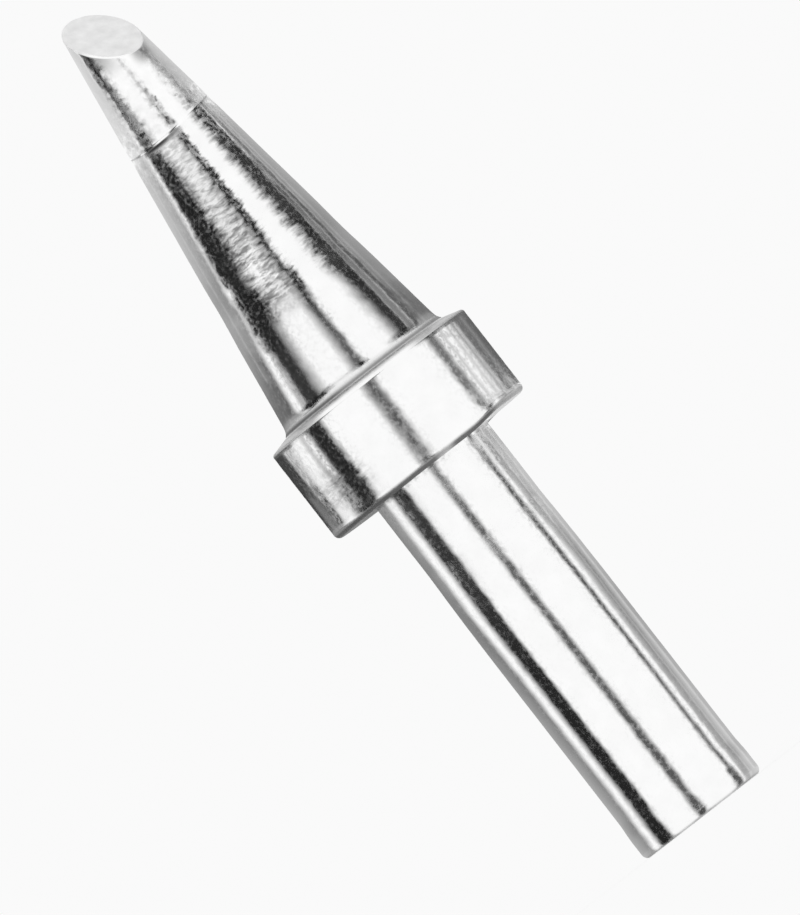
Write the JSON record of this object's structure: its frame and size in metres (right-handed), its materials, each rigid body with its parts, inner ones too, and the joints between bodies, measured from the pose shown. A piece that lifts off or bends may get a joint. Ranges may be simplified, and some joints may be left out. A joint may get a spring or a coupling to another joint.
{
  "type": "soldering iron tip",
  "caption": "Turned, plated copper soldering tip with a bevelled round nose, a long cone, a wide collar and a tubular shank with a blind heater bore.",
  "frame": {"origin": "centre of the open end of the shank, on the surface it stands on", "axes": "+Z along the axis towards the nose, +X the way the bevelled face slopes down"},
  "size_m": [0.0134, 0.0134, 0.0565],
  "materials": {
    "plated_copper": "bright chrome plate on the shank, collar and cone root, coarser plate on the cone, matt tin on the bevelled nose"
  },
  "bodies": {
    "root": {"soldering_tip": "plated_copper"}
  },
  "joints": []
}
